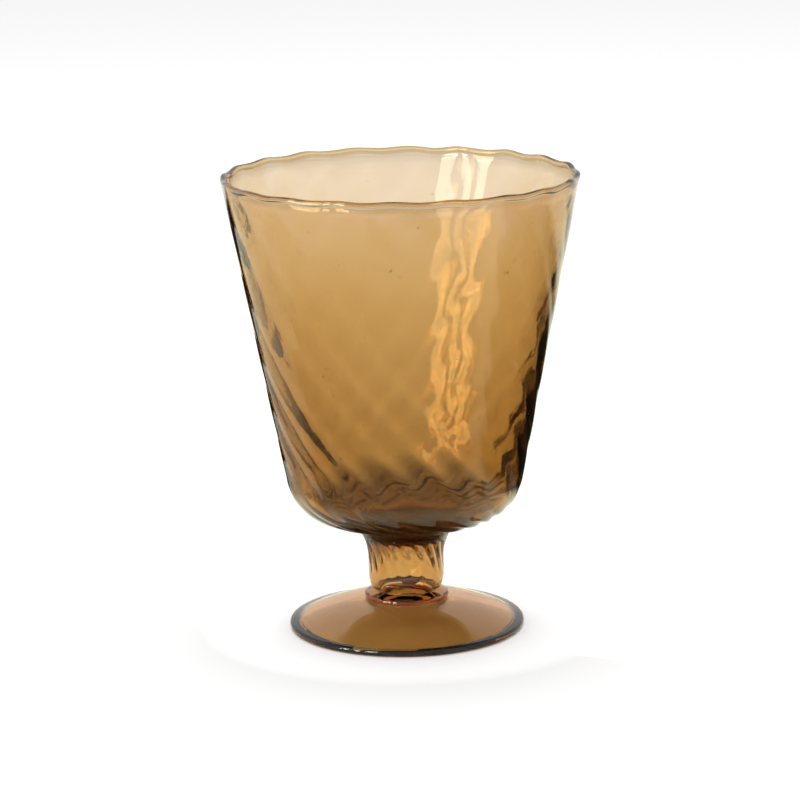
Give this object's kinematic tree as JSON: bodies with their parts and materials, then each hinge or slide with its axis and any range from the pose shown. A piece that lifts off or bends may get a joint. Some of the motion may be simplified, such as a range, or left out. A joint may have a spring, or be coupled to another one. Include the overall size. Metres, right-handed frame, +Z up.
{
  "type": "footed glass goblet",
  "caption": "Footed goblet of blown amber glass: conical bowl with swirled optic ribs and a wavy fire-polished lip, short hollow stem, collar and domed disc foot.",
  "frame": {"origin": "centre of the foot's resting ring, on the surface that the goblet stands on", "axes": "+Z up along the axis of turning; the goblet is round, so +X and +Y are not distinguished"},
  "size_m": [0.1074, 0.1074, 0.14],
  "materials": {
    "amber_bowl": "clear amber, fire polished, swirled ribs, fine seeds",
    "amber_stem": "clear amber, fire polished, faint ribs",
    "amber_collar": "clear amber, thick, fire polished",
    "amber_foot": "clear amber, fire polished, light wear on the resting ring"
  },
  "bodies": {
    "root": {"bowl": "amber_bowl", "stem": "amber_stem", "collar": "amber_collar", "foot": "amber_foot"}
  },
  "joints": []
}
